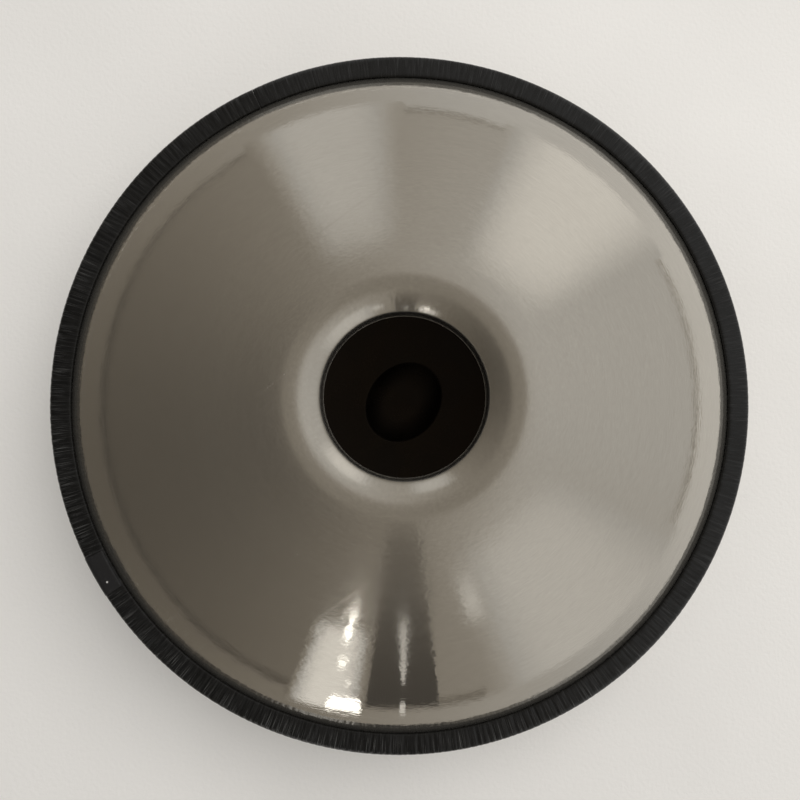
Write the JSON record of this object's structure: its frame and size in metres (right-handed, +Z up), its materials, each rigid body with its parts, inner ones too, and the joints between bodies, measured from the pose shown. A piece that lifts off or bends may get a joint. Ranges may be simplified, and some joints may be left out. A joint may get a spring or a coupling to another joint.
{
  "type": "handpan",
  "caption": "Round hollow steel handpan lying port side up: two domed shells joined at a ribbed rubber edge trim, with a rolled round sound port over an oval-domed ding and ring of tone fields.",
  "frame": {"origin": "on the floor under the centre of the body, at the middle of the ding's flat top, with the instrument lying port side up", "axes": "+Z up out of the sound port, along the body's axis; +X and +Y across the body in the plane of the rim; turning the part 180 degrees about X gives the playing position"},
  "size_m": [0.5599, 0.56, 0.2004],
  "materials": {
    "port_shell_steel": "circular brushed, glossy, warm grey",
    "ding_shell_steel": "circular brushed, hand hammered, glossy, warm grey",
    "adhesive": "cured epoxy",
    "trim_rubber": "satin black, fine cross ribs",
    "clip_steel": "plain spring steel",
    "patch_tape": "smooth black tape"
  },
  "bodies": {
    "root": {"gu_shell": "port_shell_steel", "ding_shell": "ding_shell_steel", "rim_bond": "adhesive", "edge_trim": "trim_rubber", "trim_clips": "clip_steel", "trim_patch": "patch_tape"}
  },
  "joints": []
}
